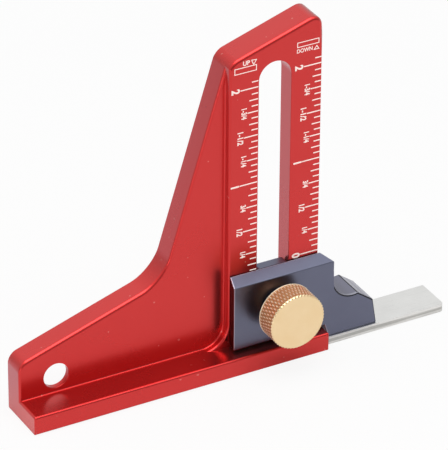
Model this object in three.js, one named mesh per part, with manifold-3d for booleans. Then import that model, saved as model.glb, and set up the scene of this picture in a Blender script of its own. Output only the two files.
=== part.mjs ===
// Table saw height gauge: a body with a ledge, a web and a slotted column, a slider
// that carries a flat measuring bar beside the column, and a knob that clamps it.
// Millimetres, +Z up. X runs along the base, Y runs from the front to the back.
// Heights count from the table, depths from the ledge's front edge, and lengths
// from the base's left end, until the last lines put the origin under the base.

import * as THREE from 'three';
import { mergeVertices } from 'three/addons/utils/BufferGeometryUtils.js';
import Module from 'manifold-3d';

const wasm = await Module();
wasm.setup();

// Body: overall outline
const baseLength = 79;
const bodyDepth = 14.1;
const ledgeHeight = 4.8;
const endHeight = 14.6;
const columnHeight = 89.1;
const topSlopeShare = 0.322; // rise of both sloped tops for each millimetre along X
const bendFromColumn = 16.3;
const shoulderOverLeft = 0.4;
const endRound = 3.2;
const bendRound = 11.5;
const shoulderRound = 3.8;
const peakRound = 2.6;
const bodyRim = 0.6;

// Body: web, column and the pocket in front of the web
const webFront = 8;
const columnFront = 6.05;
const columnWidth = 24.6;
const pocketRound = 6.1;

// Body: hanging hole, relieved from behind towards the right and below
const hangHoleX = 9.7;
const hangHoleHeight = 9.15;
const hangHoleWidth = 6.5;
const hangHoleWall = 1.5;
const hangReliefWidth = 10.8;
const hangReliefRight = 1.3;
const hangReliefDrop = 1.6;

// Body: slot, with a wider groove behind it
const slotFromRight = 12.5;
const slotWidth = 8.6;
const slotBottom = 5.8;
const slotTopWall = 5.8;
const slotWall = 4.9;
const grooveWidth = 12.8;
const slotRim = 0.2;

// Slider
const readingHeight = 24.4;
const plateFront = 2.8;
const plateBottom = 5.5;
const frontTopHeight = 22.75;
const slideGap = 0.2;
const plateFrontOverLeft = 0.1;
const plateBackInsetLeft = 0.4;
const plateFrontOverRight = 2.7;
const plateBackOverRight = 0.4;
const keyBottom = 9;
const keyReach = 2.15;
const keyRound = 0.8;

// Slider: foot beside the column, with the scoop above it
const footGap = 0.3;
const footBack = 12.3;
const cheekHeight = 20;
const scoopRadius = 5.3;
const scoopHeight = 17.2;
const crestFromScoop = 1.45;
const footLength = 12.1;
const footDraft = 1.1;
const footEndHeight = 9;
const footCornerInset = 1.1;

// Measuring bar
const barThickness = 2.13;
const barLength = 32.5;
const barFront = 2.2;
const barWidth = 10;
const barFromBase = 1.2;
const barFrontCorner = 1.1;
const barBackCorner = 0.25;

// Bar screws
const screwCount = 2;
const screwFromBarEnd = 3.7;
const screwSpacing = 6;
const screwWidth = 2.9;
const screwHeadWidth = 5.4;
const screwHeadSink = 0.1;
const screwReach = 7.2;
const screwGap = 0.1;
const screwTip = 0.4;
const hexWidth = 2.3;
const hexDepth = 0.9;

// Knob, stud, washer and nut
const knobHeight = 15.5;
const knobLeftOfSlot = 0.3;
const knobWidth = 14.5;
const knobThickness = 6.1;
const knobFrontRim = 0.35;
const knobBackRim = 0.5;
const hubWidth = 8.6;
const hubLength = 2.7;
const hubRim = 0.3;
const hubGap = 0.15;
const washerWidth = 8.2;
const washerThickness = 0.8;
const studWidth = 4.8;
const studTail = 0.3;
const studTip = 0.5;
const studSeat = 3.6;
const studPressGap = 0.03;
const studHoleGap = 0.3;
const threadGap = 0.1;
const nutThickness = 2.1;
const nutHeight = 10;
const nutGap = 0.1;
const nutSideGap = 0.2;
const nutCorner = 0.5;

// One overrun serves every cut, and the counts set how fine the round parts are
const overrun = 1;
const arcSteps = 8;
const rimSteps = 2;
const roundSides = 40;
const knobSides = 64;

// Places that follow from the sizes above
const columnLeft = baseLength - columnWidth;
const shoulderX = columnLeft + shoulderOverLeft;
const shoulderHeight = columnHeight - topSlopeShare * (baseLength - shoulderX);
const bendX = columnLeft - bendFromColumn;
const bendHeight = endHeight + topSlopeShare * bendX;
const slotX = baseLength - slotFromRight;
const clampX = slotX - knobLeftOfSlot;
const slotTop = columnHeight - topSlopeShare * slotFromRight - slotTopWall;
const grooveFront = columnFront + slotWall;
const grooveEnlarged = (grooveWidth - slotWidth) / 2;
const plateBack = columnFront - slideGap;
const footLeft = baseLength + footGap;
const plateRight = baseLength + plateFrontOverRight;
const barLeft = baseLength + barFromBase;
const barEnd = barLeft + barLength;

const X = new THREE.Vector3(1, 0, 0);
const Y = new THREE.Vector3(0, 1, 0);
const Z = new THREE.Vector3(0, 0, 1);

const redAluminium = { color: 0xc4302e, roughness: 0.38, metalness: 0.55 };
const darkAluminium = { color: 0x585a6c, roughness: 0.45, metalness: 0.5 };
const groundSteel = { color: 0xcfcfcc, roughness: 0.3, metalness: 0.9 };
const plainSteel = { color: 0x9a9a98, roughness: 0.4, metalness: 0.9 };
const blackNylon = { color: 0x1c1c1f, roughness: 0.55, metalness: 0 };
const turnedBrass = { color: 0xd9ae62, roughness: 0.35, metalness: 0.85 };

function solid(geometry) {
  const bare = geometry.clone();
  bare.deleteAttribute('normal');
  bare.deleteAttribute('uv');
  const merged = mergeVertices(bare);
  const vertProperties = new Float32Array(merged.attributes.position.array);
  const triVerts = new Uint32Array(merged.index.array);
  return new wasm.Manifold(new wasm.Mesh({ numProp: 3, vertProperties, triVerts }));
}

function namedMesh(name, shape, finish) {
  const { vertProperties, triVerts } = shape.getMesh();
  const geometry = new THREE.BufferGeometry();
  geometry.setAttribute('position', new THREE.BufferAttribute(vertProperties, 3));
  geometry.setIndex(new THREE.BufferAttribute(triVerts, 1));
  geometry.computeVertexNormals();
  const mesh = new THREE.Mesh(geometry, new THREE.MeshStandardMaterial(finish));
  mesh.name = name;
  return mesh;
}

// Corners are [x, y, radius], anticlockwise. A radius of zero leaves the corner sharp.
function roundedOutline(corners, steps = arcSteps) {
  const points = [];
  corners.forEach(([x, y, radius], index) => {
    const corner = new THREE.Vector2(x, y);
    if (radius === 0) {
      points.push(corner);
      return;
    }
    const before = corners[(index + corners.length - 1) % corners.length];
    const after = corners[(index + 1) % corners.length];
    const toBefore = new THREE.Vector2(before[0], before[1]).sub(corner).normalize();
    const toAfter = new THREE.Vector2(after[0], after[1]).sub(corner).normalize();
    const halfAngle = Math.acos(toBefore.dot(toAfter)) / 2;
    const inward = toBefore.clone().add(toAfter).normalize();
    const centre = corner.clone().addScaledVector(inward, radius / Math.sin(halfAngle));
    const reach = radius / Math.tan(halfAngle);
    const first = corner.clone().addScaledVector(toBefore, reach).sub(centre);
    const turn = Math.sign(toAfter.cross(toBefore)) * (Math.PI - 2 * halfAngle);
    for (let step = 0; step <= steps; step++) {
      const arm = first.clone().rotateAround(new THREE.Vector2(), turn * step / steps);
      points.push(arm.add(centre));
    }
  });
  return new THREE.Shape(points);
}

// A prism along the third of three axes, from its lower to its upper place there.
// The rim softens the edges of both ends.
function prism(shape, axes, from, to, rim = 0) {
  const geometry = new THREE.ExtrudeGeometry(shape, {
    depth: to - from - 2 * rim,
    bevelEnabled: rim > 0,
    bevelThickness: rim,
    bevelSize: rim,
    bevelOffset: -rim,
    bevelSegments: rimSteps,
  });
  geometry.translate(0, 0, rim);
  return turned(geometry, axes, from, to);
}

function turned(geometry, axes, from, to) {
  const [first, second, third] = axes;
  const back = first.clone().cross(second).dot(third) < 0;
  const along = back ? third.clone().negate() : third;
  geometry.applyMatrix4(new THREE.Matrix4().makeBasis(first, second, along));
  const start = third.clone().multiplyScalar(back ? to : from);
  geometry.translate(start.x, start.y, start.z);
  return solid(geometry);
}

function alongY(shape, from, to, rim) {
  return prism(shape, [X, Z, Y], from, to, rim);
}

function alongX(shape, from, to, rim) {
  return prism(shape, [Y, Z, X], from, to, rim);
}

function alongZ(shape, from, to, rim) {
  return prism(shape, [X, Y, Z], from, to, rim);
}

// The cut that softens the front edge of an opening: widest at the face, gone one rim deeper
function flare(shape, face, rim) {
  const geometry = new THREE.ExtrudeGeometry(shape, {
    depth: overrun,
    bevelThickness: rim,
    bevelSize: rim,
    bevelSegments: 1,
  });
  geometry.translate(0, 0, -overrun);
  geometry.applyMatrix4(new THREE.Matrix4().makeBasis(X, Z, Y.clone().negate()));
  geometry.translate(0, face - overrun, 0);
  return solid(geometry);
}

function rod(width, x, z, from, to) {
  const geometry = new THREE.CylinderGeometry(width / 2, width / 2, to - from, roundSides);
  geometry.translate(x, (from + to) / 2, z);
  return solid(geometry);
}

// A turned piece: the profile is [radius, place along Y], from the back to the front
function turnedPiece(profile, x, z, sides) {
  const points = profile.map(([radius, place]) => new THREE.Vector2(radius, place));
  const geometry = new THREE.LatheGeometry(points, sides);
  geometry.translate(x, 0, z);
  return solid(geometry);
}

function bodyOutline() {
  return roundedOutline([
    [0, 0, 0],
    [baseLength, 0, 0],
    [baseLength, columnHeight, peakRound],
    [shoulderX, shoulderHeight, shoulderRound],
    [bendX, bendHeight, bendRound],
    [0, endHeight, endRound],
  ]);
}

function columnOutline() {
  const pocketStart = columnLeft - pocketRound - overrun;
  return roundedOutline([
    [pocketStart, bodyRim, 0],
    [baseLength + overrun, bodyRim, 0],
    [baseLength + overrun, columnHeight + overrun, 0],
    [columnLeft, columnHeight + overrun, 0],
    [columnLeft, ledgeHeight, pocketRound],
    [pocketStart, ledgeHeight, 0],
  ]);
}

function ledgeOutline() {
  return roundedOutline([
    [0, 0, bodyRim],
    [bodyDepth, 0, bodyRim],
    [bodyDepth, ledgeHeight, 0],
    [0, ledgeHeight, bodyRim],
  ], rimSteps);
}

function slotOutline(enlarged) {
  const half = slotWidth / 2 + enlarged;
  return roundedOutline([
    [slotX - half, slotBottom - enlarged, half],
    [slotX + half, slotBottom - enlarged, half],
    [slotX + half, slotTop + enlarged, half],
    [slotX - half, slotTop + enlarged, half],
  ]);
}

function circleOutline(x, z, width) {
  const circle = new THREE.Path().absarc(x, z, width / 2, 0, 2 * Math.PI);
  return new THREE.Shape(circle.getPoints(roundSides).slice(0, -1));
}

function slotCut() {
  const through = alongY(slotOutline(0), columnFront - overrun, bodyDepth + overrun);
  const groove = alongY(slotOutline(grooveEnlarged), grooveFront, bodyDepth + overrun);
  return through.add(groove).add(flare(slotOutline(0), columnFront, slotRim));
}

function hangHoleCut() {
  const hole = circleOutline(hangHoleX, hangHoleHeight, hangHoleWidth);
  const reliefX = hangHoleX + hangReliefRight;
  const behind = circleOutline(reliefX, hangHoleHeight - hangReliefDrop, hangReliefWidth);
  const relief = alongY(behind, webFront + hangHoleWall, bodyDepth + overrun);
  const through = alongY(hole, webFront - overrun, bodyDepth);
  return through.add(relief).add(flare(hole, webFront, slotRim));
}

function bodyFrame() {
  const web = alongY(bodyOutline(), webFront, bodyDepth, bodyRim);
  const columnBack = webFront + 2 * bodyRim;
  const column = alongY(bodyOutline(), columnFront, bodyDepth, bodyRim)
    .intersect(alongY(columnOutline(), columnFront, columnBack, bodyRim));
  const ledge = alongX(ledgeOutline(), 0, baseLength, bodyRim);
  return web.add(column).add(ledge).subtract(slotCut()).subtract(hangHoleCut());
}

function plateShape() {
  const plan = roundedOutline([
    [columnLeft - plateFrontOverLeft, plateFront, 0],
    [plateRight, plateFront, 0],
    [baseLength + plateBackOverRight, plateBack, 0],
    [columnLeft + plateBackInsetLeft, plateBack, 0],
  ]);
  const side = roundedOutline([
    [plateFront, plateBottom, 0],
    [plateBack, plateBottom, 0],
    [plateBack, readingHeight, 0],
    [plateFront, frontTopHeight, 0],
  ]);
  const sideCut = alongX(side, columnLeft - overrun, plateRight + overrun);
  return alongZ(plan, plateBottom, readingHeight).intersect(sideCut);
}

function keyShape() {
  const half = (slotWidth - 2 * slideGap) / 2;
  const outline = roundedOutline([
    [slotX - half, keyBottom, keyRound],
    [slotX + half, keyBottom, keyRound],
    [slotX + half, readingHeight, keyRound],
    [slotX - half, readingHeight, keyRound],
  ], rimSteps);
  return alongY(outline, plateBack, columnFront + keyReach);
}

// The foot's front: a draft at its end, a slope down from the scoop's crest, and the
// scoop's arc between the crest and the plate's right side
function footOutline() {
  const scoopX = plateRight + scoopRadius;
  const crestAngle = Math.asin(crestFromScoop / scoopRadius);
  const points = [
    new THREE.Vector2(footLeft + footCornerInset, barThickness),
    new THREE.Vector2(plateRight + footLength, barThickness),
    new THREE.Vector2(plateRight + footLength - footDraft, footEndHeight),
  ];
  const steps = 2 * arcSteps;
  for (let step = 0; step <= steps; step++) {
    const angle = crestAngle - (Math.PI / 2 + crestAngle) * step / steps;
    points.push(new THREE.Vector2(
      scoopX + scoopRadius * Math.sin(angle),
      scoopHeight - scoopRadius * Math.cos(angle),
    ));
  }
  points.push(new THREE.Vector2(plateRight, cheekHeight));
  points.push(new THREE.Vector2(footLeft, cheekHeight));
  points.push(new THREE.Vector2(footLeft, plateBottom));
  return new THREE.Shape(points);
}

function screwPlace(index) {
  return barLeft + screwFromBarEnd + index * screwSpacing;
}

// A screw's profile from its head's flat up to its tip, for the screw and its hole
function screwProfile(gap, headHeight, tipHeight) {
  const shank = screwWidth / 2 + gap;
  const head = screwHeadWidth / 2 + gap;
  const coneTop = headHeight + head - shank;
  return [
    [0, headHeight],
    [head, headHeight],
    [shank, coneTop],
    [shank, tipHeight - screwTip],
    [shank - screwTip, tipHeight],
    [0, tipHeight],
  ];
}

function standing(profile, x) {
  const points = profile.map(([radius, height]) => new THREE.Vector2(radius, height));
  const geometry = new THREE.LatheGeometry(points, roundSides);
  geometry.rotateX(Math.PI / 2);
  geometry.translate(x, barFront + barWidth / 2, 0);
  return solid(geometry);
}

function screwHoles() {
  const holes = [];
  for (let index = 0; index < screwCount; index++) {
    const mouth = [[0, -overrun], [screwHeadWidth / 2 + screwGap, -overrun]];
    const profile = screwProfile(screwGap, screwHeadSink, screwReach + screwGap);
    holes.push(standing([...mouth, ...profile.slice(1)], screwPlace(index)));
  }
  return holes;
}

function sliderBlock() {
  const foot = alongY(footOutline(), plateFront, footBack);
  const block = plateShape().add(foot).add(keyShape());
  const studHole = rod(studWidth + 2 * studHoleGap, clampX, knobHeight, 0, bodyDepth);
  return screwHoles().reduce((rest, hole) => rest.subtract(hole), block.subtract(studHole));
}

function measuringBar() {
  const outline = roundedOutline([
    [barLeft, barFront, 0],
    [barEnd, barFront, barFrontCorner],
    [barEnd, barFront + barWidth, barBackCorner],
    [barLeft, barFront + barWidth, 0],
  ], rimSteps);
  const bar = alongZ(outline, 0, barThickness);
  return screwHoles().reduce((rest, hole) => rest.subtract(hole), bar);
}

function barScrew(index) {
  const screw = standing(screwProfile(0, screwHeadSink, screwReach), screwPlace(index));
  const socket = new THREE.CylinderGeometry(hexWidth / 2, hexWidth / 2, hexDepth + overrun, 6);
  socket.rotateX(Math.PI / 2);
  const socketMiddle = screwHeadSink + (hexDepth - overrun) / 2;
  socket.translate(screwPlace(index), barFront + barWidth / 2, socketMiddle);
  return screw.subtract(solid(socket));
}

// Depths of the clamp's pieces, from the plate's front outwards and from the groove inwards
const hubEnd = plateFront - washerThickness - hubGap;
const knobBack = hubEnd - hubLength;
const knobFront = knobBack - knobThickness;
const studFront = knobBack - studSeat;
const studBack = bodyDepth - studTail;
const nutFront = grooveFront + nutGap;

function clampKnob() {
  const radius = knobWidth / 2;
  const hub = hubWidth / 2;
  const bore = studWidth / 2 + studPressGap;
  return turnedPiece([
    [0, knobFront],
    [radius - knobFrontRim, knobFront],
    [radius, knobFront + knobFrontRim],
    [radius, knobBack - knobBackRim],
    [radius - knobBackRim, knobBack],
    [hub, knobBack],
    [hub, hubEnd - hubRim],
    [hub - hubRim, hubEnd],
    [bore, hubEnd],
    [bore, studFront - studPressGap],
    [0, studFront - studPressGap],
  ], clampX, knobHeight, knobSides);
}

function clampStud() {
  const radius = studWidth / 2;
  return turnedPiece([
    [0, studFront],
    [radius, studFront],
    [radius, studBack - studTip],
    [radius - studTip, studBack],
    [0, studBack],
  ], clampX, knobHeight, roundSides);
}

function knobWasher() {
  const front = plateFront - washerThickness;
  const bore = rod(studWidth + 2 * studHoleGap, clampX, knobHeight, front - overrun, plateFront + overrun);
  return rod(washerWidth, clampX, knobHeight, front, plateFront).subtract(bore);
}

function clampNut() {
  const side = grooveWidth / 2 - nutSideGap;
  const top = nutHeight / 2;
  const corners = [[-side, -top], [side, -top], [side, top], [-side, top]];
  const outline = roundedOutline(corners.map(([x, z]) => [slotX + x, knobHeight + z, nutCorner]), 1);
  const nutBack = nutFront + nutThickness;
  const bore = rod(studWidth + 2 * threadGap, clampX, knobHeight, nutFront - overrun, nutBack + overrun);
  return alongY(outline, nutFront, nutBack).subtract(bore);
}

const gauge = new THREE.Group();
gauge.add(namedMesh('body_frame', bodyFrame(), redAluminium));

const slider = new THREE.Group();
slider.add(namedMesh('slider_block', sliderBlock(), darkAluminium));
slider.add(namedMesh('measuring_bar', measuringBar(), groundSteel));
for (let index = 0; index < screwCount; index++) {
  slider.add(namedMesh(`bar_screw_${index + 1}`, barScrew(index), plainSteel));
}
slider.add(namedMesh('knob_washer', knobWasher(), blackNylon));
slider.add(namedMesh('clamp_nut', clampNut(), plainSteel));

const knob = new THREE.Group();
knob.add(namedMesh('clamp_knob', clampKnob(), turnedBrass));
knob.add(namedMesh('clamp_stud', clampStud(), plainSteel));
slider.add(knob);
gauge.add(slider);

// The origin is the middle of the base's underside
gauge.position.set(-baseLength / 2, -bodyDepth / 2, 0);

export default gauge;
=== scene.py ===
import math

import bmesh
import bpy
from mathutils import Matrix, Vector


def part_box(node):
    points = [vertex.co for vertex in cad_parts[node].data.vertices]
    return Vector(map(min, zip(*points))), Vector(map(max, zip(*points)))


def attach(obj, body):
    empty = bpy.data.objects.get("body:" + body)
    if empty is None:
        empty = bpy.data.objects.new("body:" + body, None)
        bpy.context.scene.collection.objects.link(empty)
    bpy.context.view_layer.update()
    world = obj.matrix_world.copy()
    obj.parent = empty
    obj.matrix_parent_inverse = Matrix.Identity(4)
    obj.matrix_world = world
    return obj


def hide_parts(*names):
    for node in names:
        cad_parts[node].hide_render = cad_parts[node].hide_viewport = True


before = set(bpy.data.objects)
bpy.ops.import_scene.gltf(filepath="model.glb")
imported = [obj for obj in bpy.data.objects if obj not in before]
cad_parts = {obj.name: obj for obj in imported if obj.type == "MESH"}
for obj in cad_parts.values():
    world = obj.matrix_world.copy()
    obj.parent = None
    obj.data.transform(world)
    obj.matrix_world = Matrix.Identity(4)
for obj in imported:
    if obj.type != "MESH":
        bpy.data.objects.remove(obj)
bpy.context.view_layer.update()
scene = bpy.context.scene

# Pieces are modelled in millimetres: x from the base's left end, y back from the
# ledge's front edge, z up from the table. toRow takes them to the row frame.
mm = 0.001
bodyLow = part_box("body_frame")[0]
toRow = Matrix.Translation((bodyLow.x, bodyLow.y, 0)) @ Matrix.Scale(mm, 4)
fromRow = toRow.inverted()


def measured(node):
    low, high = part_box(node)
    return fromRow @ low, fromRow @ high


# Mesh helpers

near, weld = 0.01, 0.0005  # millimetres within which places count as level, and are merged


def pathFace(bm, points):
    return bm.faces.new([bm.verts.new(point) for point in points])


def roundCorner(bm, vert, radius, segments):
    arms = [edge.other_vert(vert).co - vert.co for edge in vert.link_edges]
    reach = radius / math.tan(arms[0].angle(arms[1]) / 2)
    bmesh.ops.bevel(bm, geom=[vert], offset=reach, offset_type="OFFSET", affect="VERTICES",
                    segments=segments, profile=0.5, material=-1)


def outlineFace(bm, corners, y, segments=10):
    # corners are (x, z, radius), and a radius of 0 leaves the corner sharp
    face = pathFace(bm, [(x, y, z) for x, z, radius in corners])
    for vert, (x, z, radius) in zip(list(face.verts), corners):
        if radius:
            roundCorner(bm, vert, radius, segments)
    bmesh.ops.remove_doubles(bm, verts=bm.verts, dist=weld)
    return bm.faces[:]


def newFaces(parts):
    return [part for part in parts if isinstance(part, bmesh.types.BMFace)]


def cornersOf(faces):
    return list({vert for face in faces for vert in face.verts})


def thicken(bm, faces, move):
    # a flat sheet becomes a solid, whose far faces are returned
    far = newFaces(bmesh.ops.extrude_face_region(bm, geom=faces, use_keep_orig=True)["geom"])
    bmesh.ops.translate(bm, verts=cornersOf(far), vec=move)
    bmesh.ops.recalc_face_normals(bm, faces=bm.faces)
    return far


def lengthen(bm, caps, move):
    # a solid grows from its end faces, and the new end faces are returned
    far = newFaces(bmesh.ops.extrude_face_region(bm, geom=caps)["geom"])
    bmesh.ops.delete(bm, geom=caps, context="FACES_ONLY")
    bmesh.ops.translate(bm, verts=cornersOf(far), vec=move)
    return far


def cutPlane(bm, place, normal, clear=False):
    # clear also takes away what lies beyond the plane
    bmesh.ops.bisect_plane(bm, geom=bm.verts[:] + bm.edges[:] + bm.faces[:], dist=0.0001,
                           plane_co=place, plane_no=normal, clear_outer=clear)


def boxMesh(low, high):
    bm = bmesh.new()
    bmesh.ops.create_cube(bm, size=1)
    bmesh.ops.translate(bm, verts=bm.verts, vec=(0.5, 0.5, 0.5))
    bmesh.ops.scale(bm, verts=bm.verts, vec=high - low)
    bmesh.ops.translate(bm, verts=bm.verts, vec=low)
    return bm


def quarter(steps):
    # the cosine and sine of each step through a quarter turn
    turns = [math.pi / 2 * step / steps for step in range(steps + 1)]
    return [(math.cos(turn), math.sin(turn)) for turn in turns]


def outlinePoints(corners, segments):
    bm = bmesh.new()
    points = [vert.co.copy() for vert in outlineFace(bm, corners, 0, segments)[0].verts]
    bm.free()
    return points


def inwards(outline):
    # the way into the outline at each of its points, long enough to keep the sides parallel
    ways = []
    for index, here in enumerate(outline):
        first = (here - outline[index - 1]).normalized()
        second = (outline[(index + 1) % len(outline)] - here).normalized()
        across = Vector((-first.z - second.z, 0, first.x + second.x)).normalized()
        ways.append(across / across.dot(Vector((-first.z, 0, first.x))))
    area = sum(here.z * after.x - here.x * after.z
               for here, after in zip(outline, outline[1:] + outline[:1]))
    return ways if area < 0 else [-way for way in ways]


def ringPiece(name, outline, rings):
    # an outline laid in rings, each with its inset and depth, one for all or one for each
    # point, because a bevel folds where its width changes along a curve
    ways, count = inwards(outline), len(outline)
    bm = bmesh.new()
    loops = []
    for ring in rings:
        insets, depths = (part if isinstance(part, list) else [part] * count for part in ring)
        spots = [place + way * inset for place, way, inset in zip(outline, ways, insets)]
        loops.append([bm.verts.new((spot.x, depth, spot.z)) for spot, depth in zip(spots, depths)])
    for first, second in zip(loops, loops[1:]):
        for index in range(count):
            bm.faces.new((first[index - 1], first[index], second[index], second[index - 1]))
    bm.faces.new(loops[0])
    bm.faces.new(loops[-1])
    bmesh.ops.recalc_face_normals(bm, faces=bm.faces)
    return makeObject(name, bm)


def sharpEdges(bm, degrees=30, where=None):
    return [edge for edge in bm.edges
            if len(edge.link_faces) == 2
            and edge.calc_face_angle() > math.radians(degrees)
            and (where is None or where(edge))]


def softenEdges(bm, edges, width, segments):
    # returns the new faces along the edges
    return bmesh.ops.bevel(bm, geom=edges, offset=width, offset_type="OFFSET", affect="EDGES",
                           segments=segments, profile=0.5, material=-1, clamp_overlap=True)["faces"]


def spinProfile(bm, profile, axis, centre, steps):
    # profile points are (radius, place along the axis), turned about the Y or Z axis
    place = {"y": lambda r, a: (r, a, 0), "z": lambda r, a: (r, 0, a)}[axis]
    verts = [bm.verts.new(place(radius, along)) for radius, along in profile]
    edges = [bm.edges.new(pair) for pair in zip(verts, verts[1:])]
    turnAxis = (0, 1, 0) if axis == "y" else (0, 0, 1)
    bmesh.ops.spin(bm, geom=verts + edges, cent=(0, 0, 0), axis=turnAxis, angle=math.tau,
                   steps=steps, use_merge=True)
    bmesh.ops.remove_doubles(bm, verts=bm.verts, dist=weld)
    bmesh.ops.recalc_face_normals(bm, faces=bm.faces)
    bmesh.ops.translate(bm, verts=bm.verts, vec=centre)


def makeObject(name, bm):
    mesh = bpy.data.meshes.new(name)
    bm.to_mesh(mesh)
    bm.free()
    made = bpy.data.objects.new(name, mesh)
    scene.collection.objects.link(made)
    return made


def applyModifiers(made):
    bpy.context.view_layer.update()
    shown = made.evaluated_get(bpy.context.evaluated_depsgraph_get())
    mesh = bpy.data.meshes.new_from_object(shown)
    made.modifiers.clear()
    made.data = mesh


def combine(made, other, operation):
    # one Boolean with another object, which is used up
    modifier = made.modifiers.new("combine", "BOOLEAN")
    modifier.operation = operation
    modifier.solver = "EXACT"
    modifier.object = other
    applyModifiers(made)
    bpy.data.objects.remove(other)


def finishPiece(made, material, body, nodes, smoothAngle=35):
    # place in the row frame, tidy normals, material, body and the CAD nodes it stands for
    made.data.transform(toRow)
    made.data.materials.clear()
    made.data.materials.append(material)
    made.data.shade_smooth()
    made.data.set_sharp_from_angle(angle=math.radians(smoothAngle))
    weighted = made.modifiers.new("even normals", "WEIGHTED_NORMAL")
    weighted.keep_sharp = True
    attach(made, body)
    if nodes:
        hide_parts(*nodes)
    return made


# Shader helpers

class Wire:
    # wraps a socket, so that shader maths reads as Python: 1 - mask adds its Math node
    def __init__(self, tree, socket=None):
        self.tree = tree
        self.socket = socket

    def add(self, kind, settings=None, inputs=None, output=0):
        node = self.tree.nodes.new(kind)
        for name, value in (settings or {}).items():
            setattr(node, name, value)
        for name, value in (inputs or {}).items():
            if isinstance(value, Wire):
                self.tree.links.new(value.socket, node.inputs[name])
            else:
                node.inputs[name].default_value = value
        return Wire(self.tree, node.outputs[output] if node.outputs else None)

    def maths(self, operation, first, second):
        return self.add("ShaderNodeMath", {"operation": operation}, {0: first, 1: second})

    def __add__(self, other):
        return self.maths("ADD", self, other)

    def __radd__(self, other):
        return self.maths("ADD", other, self)

    def __sub__(self, other):
        return self.maths("SUBTRACT", self, other)

    def __rsub__(self, other):
        return self.maths("SUBTRACT", other, self)

    def __mul__(self, other):
        return self.maths("MULTIPLY", self, other)

    def __rmul__(self, other):
        return self.maths("MULTIPLY", other, self)

    def __gt__(self, other):
        return self.maths("GREATER_THAN", self, other)


def colour(red, green, blue):
    # from the 0 to 255 values that a picture shows to the linear ones of a shader
    linear = []
    for value in (red, green, blue):
        share = value / 255
        linear.append(share / 12.92 if share <= 0.04045 else ((share + 0.055) / 1.055) ** 2.4)
    return (*linear, 1)


def newMaterial(name):
    material = bpy.data.materials.new(name)
    material.use_nodes = True
    material.node_tree.nodes.clear()
    return material, Wire(material.node_tree)


def objectPlace(wire, scale=(1, 1, 1)):
    coordinates = wire.add("ShaderNodeTexCoord", output=3)
    return wire.add("ShaderNodeMapping", inputs={"Vector": coordinates, "Scale": scale})


def noise(wire, place, scale, detail=3.0, roughness=0.5):
    return wire.add("ShaderNodeTexNoise", inputs={"Vector": place, "Scale": scale,
                                                  "Detail": detail, "Roughness": roughness})


def blend(wire, factor, first, second):
    return wire.add("ShaderNodeMix", {"data_type": "RGBA"},
                    {0: factor, 6: first, 7: second}, output=2)


def sweep(wire, value, low, high, first, last):
    # a smooth change from the first to the last strength
    return wire.add("ShaderNodeMapRange", {"interpolation_type": "SMOOTHSTEP"},
                    {"Value": value, "From Min": low, "From Max": high,
                     "To Min": first, "To Max": last})


def axesOf(wire, place, axes=(0, 1, 2)):
    return [wire.add("ShaderNodeSeparateXYZ", inputs={0: place}, output=axis) for axis in axes]


def lengthOf(wire, first, second):
    return wire.maths("POWER", first * first + second * second, 0.5)


def clouded(wire, place, look, detail=4):
    # a colour that wanders between deep and pale, and a roughness that follows it
    cloud = noise(wire, place, look["cloud"], detail)
    base = blend(wire, cloud, look["deep"], look["pale"])
    return base, look["roughness"] - look["spread"] / 2 + cloud * look["spread"]


def fineBump(wire, look, height):
    return wire.add("ShaderNodeBump", inputs={"Strength": look["bump"], "Distance": 0.02 * mm,
                                              "Height": height})


def grained(wire, place, look):
    return fineBump(wire, look, noise(wire, place, look["grain"], 2))


def finishShader(wire, inputs):
    surface = wire.add("ShaderNodeBsdfPrincipled", inputs=inputs)
    wire.add("ShaderNodeOutputMaterial", inputs={"Surface": surface})


def redAnodised():
    look = {"deep": colour(209, 25, 24), "pale": colour(215, 37, 34), "fleck": colour(236, 150, 140),
            "cloud": 45, "grain": 2600, "bump": 0.18, "flecks": 900, "rare": 0.845,
            "fleckShare": 0.45, "roughness": 0.28, "spread": 0.08, "coatRoughness": 0.24,
            "coatIor": 1.44, "haze": 0.07}
    material, wire = newMaterial("red_anodised")
    place = objectPlace(wire)
    base, rough = clouded(wire, place, look)
    flecks = noise(wire, place, look["flecks"], 0) > look["rare"]
    base = blend(wire, flecks * look["fleckShare"], base, look["fleck"])
    finishShader(wire, {"Base Color": base, "Metallic": 1.0, "Roughness": rough,
                        "Coat Weight": 1.0, "Coat Roughness": look["coatRoughness"],
                        "Coat IOR": look["coatIor"], "Sheen Weight": look["haze"],
                        "Sheen Roughness": 0.5, "Normal": grained(wire, place, look)})
    return material


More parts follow.
